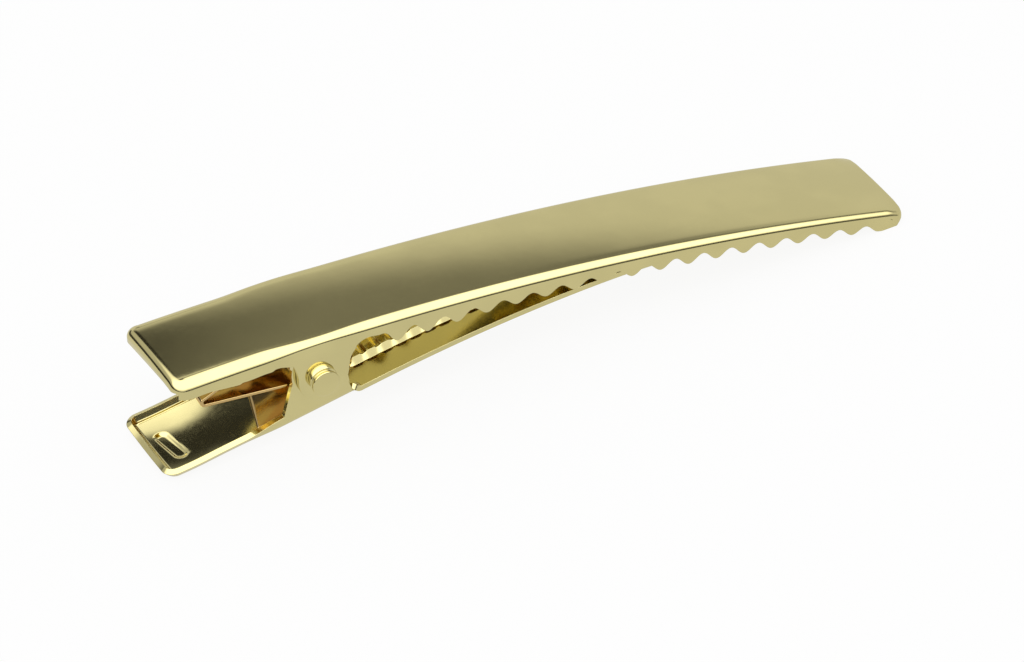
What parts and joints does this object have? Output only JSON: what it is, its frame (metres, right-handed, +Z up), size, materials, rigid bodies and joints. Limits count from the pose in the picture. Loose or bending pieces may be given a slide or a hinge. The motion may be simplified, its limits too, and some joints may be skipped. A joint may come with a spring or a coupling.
{
  "type": "alligator hair clip",
  "caption": "Sprung metal alligator hair clip: arched top jaw with toothed skirts, ribbed lower jaw in one strip with its thumb lever, riveted hinge pin and a hairpin leaf spring.",
  "frame": {"origin": "middle of the bounding box at its lowest face, so the plane that the clip lies on is z = 0", "axes": "+X towards the biting front end of the jaws, +Y across the clip along the hinge pin, +Z up; the clip lies on the end of its thumb lever and the tips of its front teeth"},
  "size_m": [0.0558, 0.0094, 0.0081],
  "materials": {
    "jaw_plate": "bright pale gold plate on pressed steel sheet",
    "pin_plate": "bright pale gold plate on a steel rivet",
    "spring_plate": "gold flashed spring steel"
  },
  "bodies": {
    "top": {"top_jaw": "jaw_plate", "hinge_pin": "pin_plate", "leaf_spring": "spring_plate"},
    "lower": {"lower_jaw": "jaw_plate"}
  },
  "joints": [
    {"name": "jaw_hinge", "type": "hinge", "parent": "lower", "child": "top", "pos_m": [-0.01654, 0, 0.00499], "axis": [0, -1, 0], "range_deg": [0, 32], "stiffness_Nm_per_rad": 0.01, "springref_deg": -34.38, "deforming": ["leaf_spring"]}
  ]
}
